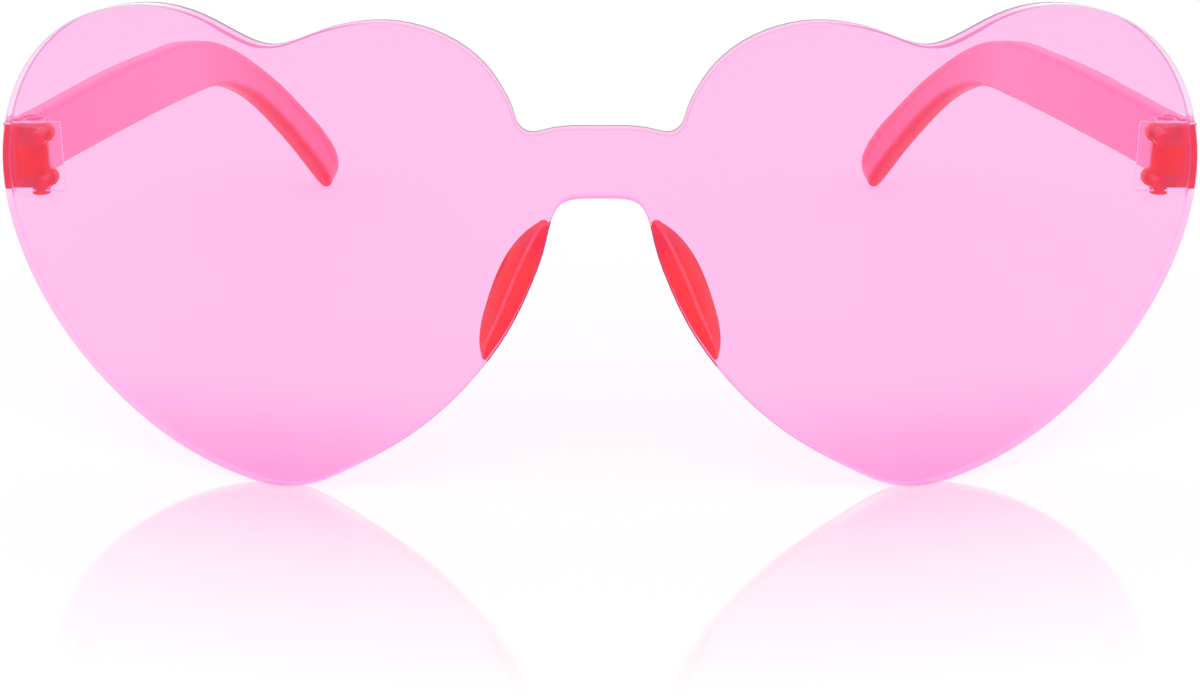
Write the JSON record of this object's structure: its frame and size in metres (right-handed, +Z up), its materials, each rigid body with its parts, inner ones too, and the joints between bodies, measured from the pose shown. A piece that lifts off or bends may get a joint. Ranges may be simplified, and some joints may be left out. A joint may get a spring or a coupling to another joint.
{
  "type": "heart shaped sunglasses",
  "caption": "Rimless heart shaped sunglasses: one wrapped tinted lens sheet with a bridge, coral nose pads and folding temples on screw hinges.",
  "frame": {"origin": "on the table top, under the middle of the box of the open glasses", "axes": "+X is the wearer's left and runs across the lens, +Y points back along the temples, +Z is up"},
  "size_m": [0.1488, 0.1468, 0.0589],
  "materials": {
    "tinted_lens": "polished clear pink polycarbonate",
    "clear_seat": "polished clear moulding",
    "hinge_plastic": "translucent coral red moulding",
    "screw_steel": "bright turned steel",
    "temple_plastic": "translucent coral pink moulding",
    "pad_plastic": "translucent coral red moulding"
  },
  "bodies": {
    "front": {"lens": "tinted_lens", "hinge_seat_left": "clear_seat", "hinge_seat_right": "clear_seat", "hinge_leaf_left": "hinge_plastic", "hinge_leaf_right": "hinge_plastic", "hinge_screw_left": "screw_steel", "hinge_screw_right": "screw_steel", "nose_pad_left": "pad_plastic", "nose_pad_right": "pad_plastic"},
    "left_temple": {"temple_left": "temple_plastic"},
    "right_temple": {"temple_right": "temple_plastic"}
  },
  "joints": [
    {"name": "left_temple_fold", "type": "hinge", "parent": "front", "child": "left_temple", "pos_m": [0.07071, -0.04716, 0.0366], "axis": [0, 0, 1], "range_deg": [0, 86]},
    {"name": "right_temple_fold", "type": "hinge", "parent": "front", "child": "right_temple", "pos_m": [-0.07071, -0.04716, 0.0366], "axis": [0, 0, -1], "range_deg": [0, 81]}
  ]
}
